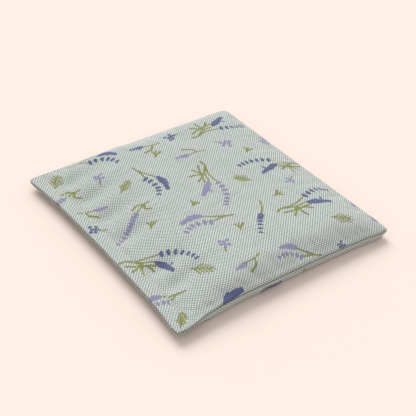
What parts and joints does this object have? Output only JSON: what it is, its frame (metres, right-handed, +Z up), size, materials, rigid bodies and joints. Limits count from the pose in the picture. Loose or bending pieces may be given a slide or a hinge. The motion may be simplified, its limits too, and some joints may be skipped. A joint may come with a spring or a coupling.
{
  "type": "eye pillow",
  "caption": "Small flat weighted eye pillow: a nearly square twill bag with a topstitched closing side, filled with flax seed and dried lavender.",
  "frame": {"origin": "middle of the footprint, on the surface that the pillow rests on", "axes": "+Z up through the thickness, +Y along the longer side, +X across from the topstitched closing side at -X"},
  "size_m": [0.15, 0.155, 0.0145],
  "materials": {
    "printed_twill": "cotton twill, pale grey-green ground printed with small lilac, violet and green lavender sprigs",
    "seam_thread": "matte spun polyester sewing thread, off-white",
    "overlock_thread": "matte fluffy overlock thread, off-white",
    "topstitch_thread": "slightly lustrous sewing thread, pale yellow",
    "flax_seed": "loose glossy brown flax seed",
    "dried_lavender": "dry matte grey-violet buds"
  },
  "bodies": {
    "root": {"top_panel": "printed_twill", "bottom_panel": "printed_twill", "side_seam_needle_thread": "seam_thread", "side_seam_bobbin_thread": "seam_thread", "edge_overlock_thread": "overlock_thread", "closing_needle_thread": "topstitch_thread", "closing_bobbin_thread": "topstitch_thread", "flax_seed_fill": "flax_seed", "lavender_buds": "dried_lavender"}
  },
  "joints": []
}
